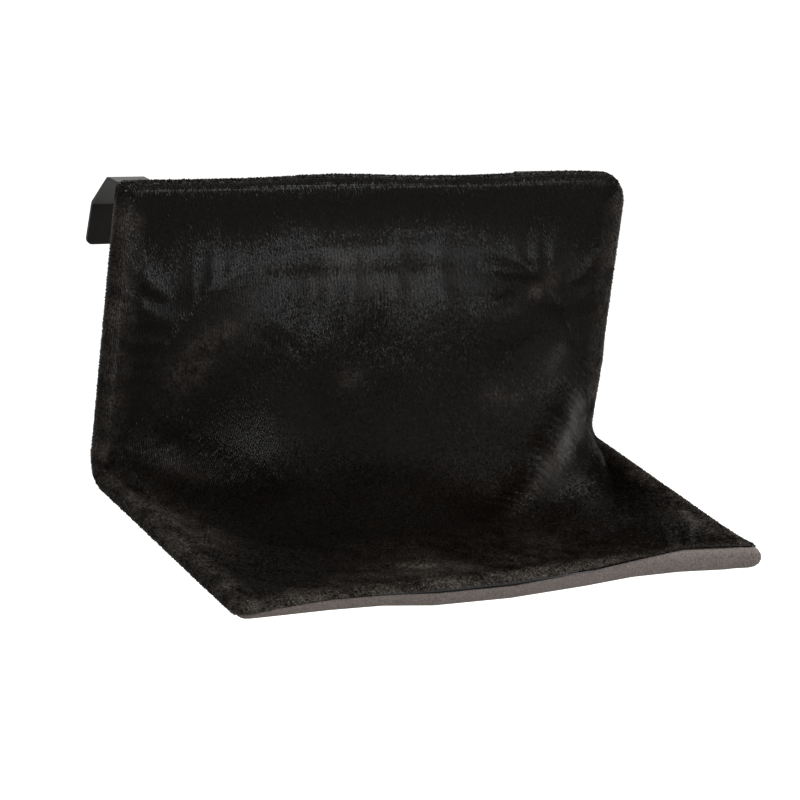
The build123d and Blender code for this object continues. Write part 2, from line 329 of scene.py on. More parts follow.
def front_seam(near_x, near_s):
    """Angle at which the plush ends and the felt band begins, 180 degrees away from the front bar."""
    seam = np.radians(along_front(near_x, SEAM_DEGREES))
    under = LENGTH - np.where(near_x < 0, OUT_LEFT, OUT_RIGHT) * BEND_RADIUS
    blend = ramp(near_s, under, under + OUT_OVER * BEND_RADIUS)
    blend = blend * blend * (3 - 2 * blend)
    return HALF_TURN + (seam - HALF_TURN) * blend


# How square the cover's corners are, as the power of a rounded square (2 follows the tube's bend), and how
# far the corner is pulled out further, as a share
CORNERS = {"top_left": (9, 0), "top_right": (2, 0), "front_left": (9, 0), "front_right": (30, 0.08)}


def corner_stretch(x, s, out_x, out_s):
    """How much further out than the tube's bend the cover's corner stands, as a factor."""
    factor = np.ones_like(x)
    for name, (power, pull) in CORNERS.items():
        here = ((x < 0) == ("left" in name)) & ((s > LENGTH / 2) == ("front" in name))
        rounded = (np.abs(out_x) ** power + np.abs(out_s) ** power) ** (1 / power)
        pulled = 1 + pull * (2 * np.abs(out_x * out_s)) ** 3
        factor = np.where(here, pulled / np.maximum(rounded, 0.5), factor)
    return factor


def wrap_about(x, s, near, direction, normal, reach, turn):
    """A point at an angle round the tube, from the cat's side of it outwards."""
    outside, _, _, out_x, out_s = nearest_on_loop(x, s)
    outward = out_s[..., None] * direction
    outward[..., 0] += out_x
    reach = np.broadcast_to(reach, turn.shape)
    from_core = np.clip(outside + BEND_RADIUS, 0, BEND_RADIUS) + reach * np.sin(turn)
    in_corner = np.abs(x) > HALF_WIDTH - BEND_RADIUS
    in_corner &= np.abs(s - LENGTH / 2) > LENGTH / 2 - BEND_RADIUS
    stretch = np.where(in_corner, corner_stretch(x, s, out_x, out_s) - 1, 0)
    return (
        near
        + reach[..., None] * (normal * np.cos(turn)[..., None] + outward * np.sin(turn)[..., None])
        + (stretch * from_core)[..., None] * outward
    )


# Where the cover stands off the top bar: middle x, half width and height in millimetres
RUCKS = ((-45, 55, 2.6), (165, 55, 2.4))


def plush_base(x, s, reach, settings):
    """The plush sheet before it sags, as points for flat places x, s that the corners have been bent for."""
    outside, near_x, near_s, _, _ = nearest_on_loop(x, s)
    near, direction, normal = middle_surface(near_x, near_s, settings.bowl_radius)
    margin = HALF_TURN * settings.backing_reach
    turn = ramp(outside, 0, margin) * front_seam(near_x, near_s)
    # Over the top bar the cover stands a little off the tube in places
    over_bar = ramp(near_s, BEND_RADIUS, 0)
    ruck = sum(high * np.exp(-(((near_x / MM - at) / half) ** 2)) for at, half, high in RUCKS)
    lift = ruck * MM * over_bar * np.sin(turn) ** 2
    # At the front seam it stands off the bar too
    stand = along_front(near_x, STAND_OFF) * MM * near_front(near_s)
    return wrap_about(x, s, near, direction, normal, reach + lift, turn) + normal * stand[..., None]


def sample(values, u, v):
    """Smooth interpolation of a grid of vectors at fractional rows v and columns u."""
    rows, columns = values.shape[:2]
    i = np.clip(np.floor(v).astype(int), 0, rows - 2)
    j = np.clip(np.floor(u).astype(int), 0, columns - 2)
    fy, fx = v - i, u - j

    def weights(f):
        # Of the four neighbours, on a cubic that passes through each of them
        return (
            ((-0.5 * f + 1) * f - 0.5) * f,
            (1.5 * f - 2.5) * f * f + 1,
            ((-1.5 * f + 2) * f + 0.5) * f,
            (0.5 * f - 0.5) * f * f,
        )

    total = 0
    for di, wy in zip((-1, 0, 1, 2), weights(fy)):
        row = np.clip(i + di, 0, rows - 1)
        for dj, wx in zip((-1, 0, 1, 2), weights(fx)):
            column = np.clip(j + dj, 0, columns - 1)
            total = total + (wy * wx)[..., None] * values[row, column]
    return total


def make_grid(columns, rows):
    """A bmesh grid, one unit from corner to middle, with its flat places as an array."""
    bm = bmesh.new()
    bmesh.ops.create_grid(bm, x_segments=columns, y_segments=rows, size=1.0)
    bm.verts.ensure_lookup_table()
    return bm, flat_places(bm.verts)


def flat_places(vertices):
    return np.array([v.co[:2] for v in vertices])


def grid_place(unit, columns, rows):
    """Column and row, with fractions, of places on the unit grid."""
    return (unit[..., 0] + 1) / 2 * columns, (unit[..., 1] + 1) / 2 * rows


def move_to(vertices, points):
    for vertex, point in zip(vertices, points):
        vertex.co = point


# Folds of the plush, in millimetres of the flat sheet: two ends and a middle as (x, s), width and height
PLUSH_FOLDS = (
    ((219, 150), (168, 236), (60, 340), 17, 7.5),
    ((-214, 180), (-185, 212), (-150, 250), 14, 4),
    ((-106, 117), (-92, 130), (-79, 144), 6, 1.4),
    ((-72, 36), (-60, 85), (-66, 130), 10, 0.9),
    ((-34, 40), (-22, 80), (-36, 120), 8, 0.8),
    ((14, 30), (6, 75), (12, 110), 10, 0.9),
    ((52, 40), (46, 75), (62, 105), 9, 0.7),
    ((95, 60), (120, 75), (160, 62), 9, 1.6),
    ((90, 108), (125, 92), (178, 96), 8, 1.8),
    ((110, 160), (150, 128), (196, 122), 9, 2.5),
)


def along_strokes(strokes, x, s):
    """Sum of soft-edged strokes at flat places, each tapered at its ends."""
    total = np.zeros_like(x)
    for first, middle, last, width, strength in strokes:
        steps = np.linspace(0, 1, 25)[:, None]
        a, b, c = (np.array(p) * MM for p in (first, middle, last))
        line = a * (1 - steps) ** 2 + 2 * b * steps * (1 - steps) + c * steps**2
        best = np.full(x.shape, np.inf)
        taper = np.zeros_like(x)
        for step, (px, ps) in zip(steps[:, 0], line):
            distance = np.hypot(x - px, s - ps)
            closer = distance < best
            best = np.where(closer, distance, best)
            taper = np.where(closer, math.sin(math.pi * (0.06 + 0.88 * step)) ** 0.7, taper)
        total += strength * taper * np.exp(-((best / (width * MM)) ** 2))
    return total


def soft_patches(x, s, size, seed):
    """Random soft patches of one size over flat places, from about -1 to 1."""
    repeat = 16
    values = np.random.default_rng(seed).uniform(-1, 1, (repeat, repeat, 1))
    values = np.pad(values, ((1, 3), (1, 3), (0, 0)), "wrap")
    return sample(values, np.mod(x / size, repeat) + 1, np.mod(s / size, repeat) + 1)[..., 0]


SAG_CELL = 5 * MM  # of the net that hangs in the cloth simulation
HANG_STEPS = 30
CLOTH = {
    "quality": 5,
    "mass": 0.12,
    "tension_stiffness": 60,
    "compression_stiffness": 40,
    "shear_stiffness": 20,
    "bending_stiffness": 2.0,
    "air_damping": 4,
}


class HungSheet:
    """A sheet of cloth on the frame, over the unit grid: -1 to 1 across, and from its top to its front."""

    def __init__(self, settings, half_x, top, bottom):
        self.settings = settings
        self.half_x, self.top, self.bottom = half_x, top, bottom
        self.columns = round(2 * half_x / SAG_CELL)
        self.rows = round((bottom - top) / SAG_CELL)
        self.sag = np.zeros((self.rows + 1, self.columns + 1, 3))

    def flat(self, unit):
        """Flat places in metres for places on the unit grid."""
        return unit[..., 0] * self.half_x, self.top + (unit[..., 1] + 1) / 2 * (self.bottom - self.top)

    def held(self, unit):
        """Which flat places the tubes carry."""
        outside, *_ = nearest_on_loop(*self.flat(unit))
        return outside > -SAG_CELL

    def hang(self):
        """Let the sheet sag between the tubes by a cloth simulation, and keep how far it moved."""
        bm, unit = make_grid(self.columns, self.rows)
        start = self.base(unit, 0.0)
        move_to(bm.verts, start)
        piece = to_object(bm, "hanging_sheet", [])
        group = piece.vertex_groups.new(name="held")
        group.add([int(i) for i in np.flatnonzero(self.held(unit))], 1.0, "REPLACE")
        cloth = piece.modifiers.new("Cloth", "CLOTH")
        for name, value in CLOTH.items():
            setattr(cloth.settings, name, value)
        cloth.settings.vertex_group_mass = "held"
        cloth.settings.shrink_min = -self.settings.slack
        cloth.point_cache.frame_start = 1
        cloth.point_cache.frame_end = 40
        scene = bpy.context.scene
        for step in range(1, HANG_STEPS + 1):
            scene.frame_set(step)
        apply_modifiers(piece)
        scene.frame_set(1)
        end = np.empty(len(piece.data.vertices) * 3, np.float32)
        piece.data.vertices.foreach_get("co", end)
        bpy.data.objects.remove(piece)
        column, row = np.round(grid_place(unit, self.columns, self.rows)).astype(int)
        self.sag[row, column] = end.reshape(-1, 3) - start
        size = np.linalg.norm(self.sag, axis=-1, keepdims=True)
        print(type(self).__name__, "sags by up to", round(float(size.max()) / MM, 1), "mm before it is capped")
        # The cloth is drawn smooth over the top bar, so the sag grows from there
        free = ramp(np.linspace(self.top, self.bottom, self.rows + 1), 0, FREE_FROM)[:, None, None] ** 2
        self.sag *= free * np.minimum(1, self.settings.most_sag / np.maximum(size, 1e-9))

    def points(self, unit, rise=0.0):
        """Where the sheet lies, rise out from its middle: to the cat's side or, for the lining, the other."""
        u, v = grid_place(unit, self.columns, self.rows)
        return self.base(unit, rise) + sample(self.sag, u, v) + self.folds(unit)


class PlushShape(HungSheet):
    def __init__(self, settings):
        self.margin = HALF_TURN * settings.backing_reach
        super().__init__(settings, HALF_WIDTH + self.margin, -self.margin, LENGTH + self.margin)

    def base(self, unit, rise):
        x, s = round_corners(*self.flat(unit), self.margin)
        return plush_base(x, s, self.settings.backing_reach + rise, self.settings)

    def folds(self, unit):
        _, _, normal = middle_surface(*self.flat(unit), self.settings.bowl_radius)
        return normal * (MM * along_strokes(PLUSH_FOLDS, *self.flat(unit)))[..., None]


WRINKLES = 1.4 * MM  # height of the felt's wrinkles


class LiningShape(HungSheet):
    def __init__(self, settings):
        self.margin = HALF_TURN * settings.reach
        super().__init__(settings, HALF_WIDTH, BAR_Z - lining_high.z, LENGTH + self.margin)

    def flat(self, unit):
        """The felt is wider at its front end, where the band wraps round the corners."""
        x, s = super().flat(unit)
        wider = ramp(s, LENGTH - 14 * MM, LENGTH + 2 * MM)
        return x * (1 + self.margin / HALF_WIDTH * wider), s

    def held(self, unit):
        """The tubes carry it, and so does the closure behind the top bar."""
        return super().held(unit) | (self.flat(unit)[1] < CLOSURE_END)

    def base(self, unit, rise):
        settings = self.settings
        x, s = self.flat(unit)
        # Only the two front corners are bent, and the band ends at the front seam
        bent_x, bent_s = round_corners(x, s, self.margin)
        x, s = np.where(s > LENGTH / 2, bent_x, x), np.where(s > LENGTH / 2, bent_s, s)
        outside, near_x, near_s, _, _ = nearest_on_loop(x, np.maximum(s, BEND_RADIUS))
        down = np.where(s < BEND_RADIUS, s, near_s)
        near, direction, normal = middle_surface(near_x, down, settings.bowl_radius)
        band_turn = HALF_TURN - front_seam(near_x, near_s) - SEAM_GAP
        turn = ramp(outside, 0, self.margin) * np.maximum(band_turn, 0)
        # Behind the top bar the felt laps over the flap and its tapes, and its top edge is a double hem
        closure = (lining_high.y - settings.felt / 2) - settings.reach
        fade = ramp(s, BACK_HEIGHT * 0.92, CLOSURE_END)
        hem = 0.5 * MM * ramp(s, self.top + HEM, self.top + HEM - 1.5 * MM)
        reach = settings.reach + closure * fade + hem
        points = wrap_about(x, s, near, direction, -normal, reach + rise, turn)
        # The band sags under the front bar and stands off it at the seam
        over = np.sin(turn / 2) ** 2
        front = near_front(near_s)
        sag = settings.band_sag * along_front(near_x, BAND_SAG) * front * (1 - over)
        points += normal * (along_front(near_x, STAND_OFF) * MM * front * over)[..., None]
        points[..., 2] -= sag * MM
        return points

    def folds(self, unit):
        """Low broad wrinkles where the felt hangs free, away from the tubes and the closure."""
        x, s = self.flat(unit)
        outside, *_ = nearest_on_loop(x, np.maximum(s, BEND_RADIUS))
        free = ramp(outside, 0, -35 * MM) * ramp(s, CLOSURE_END, CLOSURE_END + 30 * MM)
        wrinkles = soft_patches(x + 0.4 * s, s, size=55 * MM, seed=11)
        wrinkles = wrinkles + 0.5 * soft_patches(x - 0.6 * s, s, size=24 * MM, seed=13)
        _, _, normal = middle_surface(x, s, self.settings.bowl_radius)
        return -normal * (WRINKLES * free * wrinkles)[..., None]


def knit_material(settings):
    """Knitted polyester backing: matt, with a fine rib that shows between the tufts."""
    material, tree, shader = start_material("knitted_backing")
    place = add(tree, "TexCoord", output="Object")
    ribs = add(tree, "TexWave", {"Vector": place, "Scale": 60.0, "Distortion": 2.0}, "Fac")
    colours = {0: ribs, MIX_A: rgba(settings.root_colour), MIX_B: rgba(settings.pile_colour)}
    blend = add(tree, "Mix", colours, MIX_RESULT, data_type="RGBA")
    feed(tree, shader, {"Base Color": blend, "Roughness": 0.85, "Specular IOR Level": 0.1})
    return material


def pile_material(settings):
    """Silky polyester pile: near black, with a cool gleam where the smooth fibres lie towards the light."""
    material, tree, shader = start_material("silky_polyester_pile")
    place = add(tree, "TexCoord", output="Object")
    # Single tufts differ a little, and the pile is painted paler in strokes and along its edges, a painted
    # sheen and highlight
    tufts = add(tree, "TexNoise", {"Vector": place, "Scale": 500.0, "Detail": 1.0})
    grain = add(tree, "MapRange", {"Value": tufts, "From Min": 0.24, "From Max": 0.76})
    # Painted sheen and highlight, from the strokes and edges that the pile's vertices carry
    wear_and_painted_sheen = add(tree, "Attribute", output="Fac", attribute_name="wear_and_painted_sheen")
    amount = add(tree, "Math", {0: wear_and_painted_sheen, 1: 0.06}, operation="ADD")
    amount = add(tree, "Math", {0: amount, 1: grain}, operation="MULTIPLY", use_clamp=True)
    colours = {0: amount, MIX_A: rgba(settings.pile_colour), MIX_B: rgba(settings.painted_sheen_colour)}
    blend = add(tree, "Mix", colours, MIX_RESULT, data_type="RGBA")
    feed(tree, shader, {"Base Color": blend, "Roughness": 0.3})
    feed(tree, shader, {"Specular IOR Level": settings.gloss, "Specular Tint": rgba(settings.sheen_colour)})
    return material


def felt_material(settings):
    """Brushed felt: matt short fibres with pale flecks."""
    material, tree, shader = start_material("brushed_felt")
    place = add(tree, "TexCoord", output="Object")
    # Fibres matted in flecks about a millimetre wide, over faint clouds
    flecks = add(tree, "TexNoise", {"Vector": place, "Scale": 750.0, "Detail": 3.0})
    cloud = add(tree, "TexNoise", {"Vector": place, "Scale": 70.0, "Detail": 2.0})
    faint = add(tree, "MapRange", {"Value": cloud, "To Min": 0.88, "To Max": 1.12})
    both = add(tree, "Math", {0: flecks, 1: faint}, operation="MULTIPLY")
    spread = add(tree, "MapRange", {"Value": both, "From Min": 0.34, "From Max": 0.68})
    colours = {0: spread, MIX_A: rgba(settings.felt_colour), MIX_B: rgba(settings.fibre_colour)}
    blend = add(tree, "Mix", colours, MIX_RESULT, data_type="RGBA")
    bump = add(tree, "Bump", {"Height": flecks, "Strength": 0.5, "Distance": 0.4 * MM})
    feed(tree, shader, {"Base Color": blend, "Roughness": 0.92, "Normal": bump})
    return material


PILE_BANDS = 5  # pieces that the pile is made in, from the top bar to the front

# How unevenly the tufts lean and turn aside, in radians: on the open cloth, how much more over the tubes, and
# how much more where the pile rolls into the front seam
LEAN_SPREAD = (0.1, 0.12, 0.25)
SIDE_SPREAD = (0.2, 0.25, 0.4)

# Where the pile is brushed otherwise, in millimetres of the flat sheet: x, s, half width, half length, how
# many degrees further it stands up, and how many degrees it is ruffled
BRUSHED = (
    (0, 0, 500, 45, -12, -3),
    (-20, 85, 110, 40, 3, -2),
    (-115, 262, 80, 50, 8, -3),
    (-30, 345, 130, 60, 9, -3),
    (60, 260, 50, 50, -6, 2),
    (184, 276, 30, 46, 30, 0),
    (206, 190, 13, 20, -17, -2),
    (182, 218, 13, 20, -17, -2),
    (152, 250, 13, 20, -17, -2),
    (118, 284, 13, 20, -17, -2),
)

# Strokes of painted sheen and highlight, where the pile is painted paler for the light it throws back (the
# crest's highlight and the back's sheen patch among them) and on the seat where it faces the lamps, as two ends
# and a middle (x, s), width and strength
PAINTED_SHEEN = (
    ((224, 166), (170, 240), (62, 343), 6, 0.9),
    ((-213, 188), (-191, 221), (-167, 252), 9, 0.7),
    ((-181, 162), (-155, 132), (-131, 104), 16, 0.8),
    ((-94, 79), (-20, 62), (55, 87), 28, 0.4),
    ((-46, 180), (-40, 172), (-25, 165), 10, 0.3),
    ((85, 205), (101, 202), (125, 190), 18, 0.35),
    ((108, 113), (134, 101), (171, 65), 8, 0.6),
    ((184, 130), (170, 148), (160, 165), 7, 0.6),
    ((-221, 264), (-212, 320), (-196, 360), 20, 1.9),
    ((-195, 436), (-150, 452), (-90, 450), 10, 1.4),
    ((-82, 407), (-48, 415), (-14, 424), 6, 1.0),
    ((-150, 426), (-40, 430), (120, 436), 16, 1.0),
    ((212, 350), (214, 400), (215, 442), 13, 1.0),
    ((-150, 395), (0, 402), (150, 400), 40, 0.35),
)


def over_tubes(x, s):
    """How ruffled the pile is towards and over the tubes, from 0 to 1, and how much paler it is painted there
    for the light that its fuzz catches.
    """
    outside, _, _, out_x, out_s = nearest_on_loop(x, s)
    ruffled = ramp(outside, -12 * MM, 10 * MM) ** 1.5
    # Painted sheen: the pile is painted paler along the sides and the front, the seat's most, for the light its
    # fuzz catches there, and not over the top bar
    side = np.clip(np.abs(out_x) + out_s, 0, 1) * (1.1 + 0.6 * ramp(s, BACK_HEIGHT, BACK_HEIGHT + 60 * MM))
    return ruffled, side * ramp(outside, -16 * MM, 6 * MM)


def brushed(x, s):
    """How much further the pile stands up at flat places, and how much it is ruffled, in radians."""
    up, ruffled = np.zeros_like(x), np.zeros_like(x)
    for middle_x, middle_s, half_x, half_s, degrees, rough in BRUSHED:
        near = np.exp(-(((x / MM - middle_x) / half_x) ** 2) - ((s / MM - middle_s) / half_s) ** 2)
        up += math.radians(degrees) * near
        ruffled += math.radians(rough) * near
    return up, ruffled


def unit_length(vectors):
    return vectors / np.linalg.norm(vectors, axis=-1, keepdims=True)


def make_tufts(name, columns, rows, place, nap, paint_sheen, material):
    """One piece of pile: a grid with a tuft drawn out of the middle of each cell.

    place gives points for flat places from -1 to 1, nap gives each tuft's lean, side turn and length, and the
    last gives how much paler the pile is painted, a painted sheen and highlight.
    """
    bm = bmesh.new()
    wear_and_painted_sheen = bm.verts.layers.float.new("wear_and_painted_sheen")
    bake_map = bm.loops.layers.uv.new("OFBake")
    bmesh.ops.create_grid(bm, x_segments=columns, y_segments=rows, size=1.0)
    tips = bmesh.ops.poke(bm, faces=list(bm.faces), center_mode="MEAN")["verts"]
    # The flat grid is also the pile's map, OFBake, for its colours
    for face in bm.faces:
        for loop in face.loops:
            loop[bake_map].uv = loop.vert.co.xy / 2 + Vector((0.5, 0.5))
    bm.verts.ensure_lookup_table()
    for vertex, amount in zip(bm.verts, paint_sheen(flat_places(bm.verts))):
        vertex[wear_and_painted_sheen] = amount
    tip_set = set(tips)
    roots = [v for v in bm.verts if v not in tip_set]
    flat = flat_places(roots)
    column, row = np.round(grid_place(flat, columns, rows)).astype(int)
    points = place(flat)
    net = np.empty((rows + 1, columns + 1, 3))
    net[row, column] = points

    middle = (net[1:, 1:] + net[1:, :-1] + net[:-1, 1:] + net[:-1, :-1]) / 4
    down = unit_length(net[1:, 1:] + net[1:, :-1] - net[:-1, 1:] - net[:-1, :-1])
    across = unit_length(net[1:, 1:] + net[:-1, 1:] - net[1:, :-1] - net[:-1, :-1])
    up = unit_length(np.cross(down, across))
    cells = flat_places(tips)
    j, i = np.floor(grid_place(cells, columns, rows)).astype(int)
    lean, side, reach = nap(cells)
    drawn = middle[i, j] + reach[:, None] * (
        (np.cos(lean) * np.cos(side))[:, None] * down[i, j]
        + (np.cos(lean) * np.sin(side))[:, None] * across[i, j]
        + np.sin(lean)[:, None] * up[i, j]
    )
    move_to(roots, points)
    move_to(tips, drawn)
    pile = to_object(bm, name, [material])
    pile.data.shade_flat()
    dress(pile, [])
    return pile


def make_pile(shape, settings):
    """Cover the sheet in tufts that lie down the back and out along the seat, in bands from top to front."""
    columns = round(2 * shape.half_x / settings.tuft_gap)
    rows = round((shape.bottom - shape.top) / settings.tuft_gap / PILE_BANDS)
    material = pile_material(settings)
    random = np.random.default_rng(7)
    pieces = []
    for band in range(PILE_BANDS):

        def on_sheet(flat):
            return np.stack([flat[:, 0], (flat[:, 1] + 1 + 2 * band) / PILE_BANDS - 1], -1)

        def place(flat):
            return shape.points(on_sheet(flat), settings.pile)

        def nap(cells):
            x, s = shape.flat(on_sheet(cells))
            up, ruffled = brushed(x, s)
            edge, _ = over_tubes(x, s)
            rolled = ramp(s, LENGTH - 3 * MM, LENGTH + 5 * MM)

            def uneven(spread):
                level, tube, roll = spread
                return random.normal(0, 1, x.shape) * (level + ruffled + tube * edge + roll * rolled)

            lean = settings.lean + up + math.radians(4) * soft_patches(x, s, size=30 * MM, seed=3)
            lean = lean + math.radians(15) * edge + uneven(LEAN_SPREAD)
            side = math.radians(12) * soft_patches(x, s, size=42 * MM, seed=5) + uneven(SIDE_SPREAD)
            # The pile is rolled short into the front seam
            short = 1 - 0.4 * ramp(s, LENGTH, shape.bottom)
            return lean, side, settings.tuft * random.uniform(0.75, 1.3, x.shape) * short

        # Painted sheen: how much paler the pile is painted, in strokes and along the edges, for its sheen and
        # highlights
        def paint_sheen(flat):
            x, s = shape.flat(on_sheet(flat))
            broken = 0.75 + 0.4 * soft_patches(x, s, size=7 * MM, seed=17)
            broken = broken + 0.35 * soft_patches(x, s, size=16 * MM, seed=19)
            # Painted sheen along the sides and the front
            _, painted_edge_sheen = over_tubes(x, s)
            return np.maximum(along_strokes(PAINTED_SHEEN, x, s), painted_edge_sheen) * np.clip(broken, 0.15, 1.4)

        pieces.append(make_tufts(f"plush_pile_{band + 1}", columns, rows, place, nap, paint_sheen, material))
    return pieces


def make_flap_pile(half_width, slope, settings):
    """The pile on the closing flap, from the top bar down to the tape that is sewn over it."""
    height = BAR_Z - tape_high.z - 2 * MM
    random = np.random.default_rng(23)

    def on_flap(flat):
        drop = (flat[:, 1] + 1) / 2 * height
        y = settings.backing_reach + settings.pile + slope * drop
        return np.stack([-flat[:, 0] * half_width, y, BAR_Z - drop], -1)

    def nap(cells):
        count = len(cells)
        lean = random.normal(settings.lean, LEAN_SPREAD[0], count)
        side = random.normal(0, SIDE_SPREAD[0], count)
        return lean, side, np.full(count, settings.tuft * 0.8)

    # The flap's pile gets no painted sheen
    def without_painted_sheen(flat):
        return np.zeros(len(flat))

    columns, rows = round(2 * half_width / settings.tuft_gap), round(height / settings.tuft_gap)
    return make_tufts("plush_flap_pile", columns, rows, on_flap, nap, without_painted_sheen, pile_material(settings))


def thread_material(settings):
    """Spun polyester thread: matt, with its twist as a fine slanting bump."""
    material, tree, shader = start_material("polyester_thread")
    place = add(tree, "TexCoord", output="Object")
    twist = add(tree, "TexWave", {"Vector": place, "Scale": 400.0}, "Fac", bands_direction="DIAGONAL")
    colours = {0: twist, MIX_A: rgba(settings.felt_colour), MIX_B: rgba(settings.thread_colour)}
    blend = add(tree, "Mix", colours, MIX_RESULT, data_type="RGBA")
    feed(tree, shader, {"Base Color": blend, "Roughness": 0.7})
    return material


def tape_material(settings):
    """Woven nylon tape: near black, its weave a fine check of paler threads."""
    material, tree, shader = start_material("woven_nylon_tape")
    place = add(tree, "TexCoord", output="Object")
    weave = add(tree, "TexChecker", {"Vector": place, "Scale": 1250.0}, "Fac")
    colours = {0: weave, MIX_A: rgba(settings.tape_colour), MIX_B: rgba(settings.weave_colour)}
    blend = add(tree, "Mix", colours, MIX_RESULT, data_type="RGBA")
    bump = add(tree, "Bump", {"Height": weave, "Strength": 0.4, "Distance": 0.2 * MM})
    feed(tree, shader, {"Base Color": blend, "Roughness": 0.6, "Normal": bump})
    return material


def powder_coat(name, paint, roughness, dimple):
    """Baked powder paint on steel: even and black, with the dimples that the melted powder leaves."""
    material, tree, shader = start_material(name)
    place = add(tree, "TexCoord", output="Object")
    dimples = add(tree, "TexNoise", {"Vector": place, "Scale": 1 / dimple, "Detail": 1.0})
    wear_and_painted_sheen = add(tree, "TexNoise", {"Vector": place, "Scale": 45.0, "Detail": 4.0})
    wear = add(tree, "MapRange", {"Value": wear_and_painted_sheen, "From Min": 0.5, "From Max": 0.75})
    pale = tuple(1.7 * c + 0.002 for c in paint)
    colours = {0: wear, MIX_A: rgba(paint), MIX_B: rgba(pale)}
    blend = add(tree, "Mix", colours, MIX_RESULT, data_type="RGBA")
    gloss = add(tree, "MapRange", {"Value": wear_and_painted_sheen, "To Min": roughness - 0.06, "To Max": roughness + 0.1})
    bump = add(tree, "Bump", {"Height": dimples, "Strength": 0.35, "Distance": 0.06 * MM})
    feed(tree, shader, {"Base Color": blend, "Roughness": gloss, "Normal": bump})
    return material


def zinc_plate(name, plate):
    """Bright zinc on steel screws and washers: silvery, clouded where the plating is thin."""
    material, tree, shader = start_material(name)
    place = add(tree, "TexCoord", output="Object")
    cloud = add(tree, "TexNoise", {"Vector": place, "Scale": 350.0, "Detail": 3.0})
    dull = tuple(0.72 * c for c in plate)
    colours = {0: cloud, MIX_A: rgba(dull), MIX_B: rgba(plate)}
    blend = add(tree, "Mix", colours, MIX_RESULT, data_type="RGBA")
    gloss = add(tree, "MapRange", {"Value": cloud, "To Min": 0.22, "To Max": 0.42})
    feed(tree, shader, {"Base Color": blend, "Roughness": gloss, "Metallic": 1.0})
    return material


BACKING_GRID = (212, 218)  # columns and rows
LINING_GRID = (150, 160)
FLAP_STEPS, FLAP_EASE_STEPS = 12, 5  # rows of the closing flap, and those in which it eases out


class HAMMOCK_OT_plush(bpy.types.Operator):
    """Make the plush panel: its knitted backing, hung by simulation, and the pile on it"""

    bl_idname = "hammock.plush"
    bl_label = "Plush Panel"

    def execute(self, context):
        settings = context.scene.hammock_plush
        shape = PlushShape(settings)
        shape.hang()
        bm, unit = make_grid(*BACKING_GRID)
        move_to(bm.verts, shape.points(unit))
        # The closing flap goes on from the edge behind the top bar, between the hook brackets, and eases out
        # to where its tape is sewn
        flap_half = tape_high.x + 5 * MM

        def by_flap(place):
            return place.y > 0 and place.z > BAR_Z - 1 * MM and abs(place.x) < flap_half

        edges = [e for e in bm.edges if e.is_boundary and all(by_flap(v.co) for v in e.verts)]
        step = settings.flap_drop / FLAP_STEPS
        ease = (tape_low.y - settings.backing / 2 - settings.backing_reach) / FLAP_EASE_STEPS
        for number in range(FLAP_STEPS):
            made = bmesh.ops.extrude_edge_only(bm, edges=edges)["geom"]
            edges = [g for g in made if isinstance(g, bmesh.types.BMEdge)]
            row = [g for g in made if isinstance(g, bmesh.types.BMVert)]
            bmesh.ops.translate(bm, verts=row, vec=(0, ease if number < FLAP_EASE_STEPS else 0, -step))
        backing = to_object(bm, "plush_backing", [knit_material(settings)])
        thicken(backing, settings.backing)
        dress(backing, ["plush_panel"])

        tufts = make_pile(shape, settings)
        tufts.append(make_flap_pile(flap_half, ease / step, settings))
        return {"FINISHED"}


HOLES_DOWN, HOLES_ACROSS = 110, 106  # needle holes down each side of the lining, and along its hem
SIDE_SEAM_END = 0.92  # on the unit grid
THREAD_RADIUS = 0.32 * MM
HALF_STITCH = 0.36  # as a share of the way from hole to hole, so that a gap is left where the thread dips


class HAMMOCK_OT_lining(bpy.types.Operator):
    """Make the felt lining behind the back and under the seat, its band round the front and its stitching"""

    bl_idname = "hammock.lining"
    bl_label = "Lining Panel"

    def execute(self, context):
        settings = context.scene.hammock_lining
        shape = LiningShape(settings)
        shape.hang()
        bm, unit = make_grid(*LINING_GRID)
        move_to(bm.verts, shape.points(unit))
        lining = to_object(bm, "felt_lining", [felt_material(settings)])
        thicken(lining, settings.felt)
        dress(lining, ["lining_panel"])

        # A row of stitches down each side, and one along the foot of the top hem
        side = 1 - 4 * MM / shape.half_x
        foot = -1 + 2 * (HEM - 2 * MM) / (shape.bottom - shape.top)
        down = np.linspace(foot, SIDE_SEAM_END, HOLES_DOWN)
        along = np.linspace(-side, side, HOLES_ACROSS)
        rows = [np.stack([np.full_like(down, x), down], -1) for x in (-side, side)]
        rows.append(np.stack([along, np.full_like(along, foot)], -1))
        make_stitches([shape.points(row, settings.felt / 2) for row in rows], settings)
        return {"FINISHED"}


def make_stitches(rows, settings):
    """The lining's lockstitches along rows of needle holes, one between every two holes."""
    bm = bmesh.new()
    for points in rows:
        for first, last in zip(points[:-1], points[1:]):
            first, last = Vector(first), Vector(last)
            turn = (last - first).to_track_quat("Z", "Y").to_matrix().to_4x4()
            half = (last - first).length * HALF_STITCH
            size = Matrix.Diagonal((THREAD_RADIUS, THREAD_RADIUS, half, 1))
            place = Matrix.Translation((first + last) / 2) @ turn @ size
            bmesh.ops.create_uvsphere(bm, u_segments=6, v_segments=4, radius=1.0, matrix=place)
    stitches = to_object(bm, "lining_stitches", [thread_material(settings)])
    dress(stitches, [])


SELVAGE = 2.2 * MM


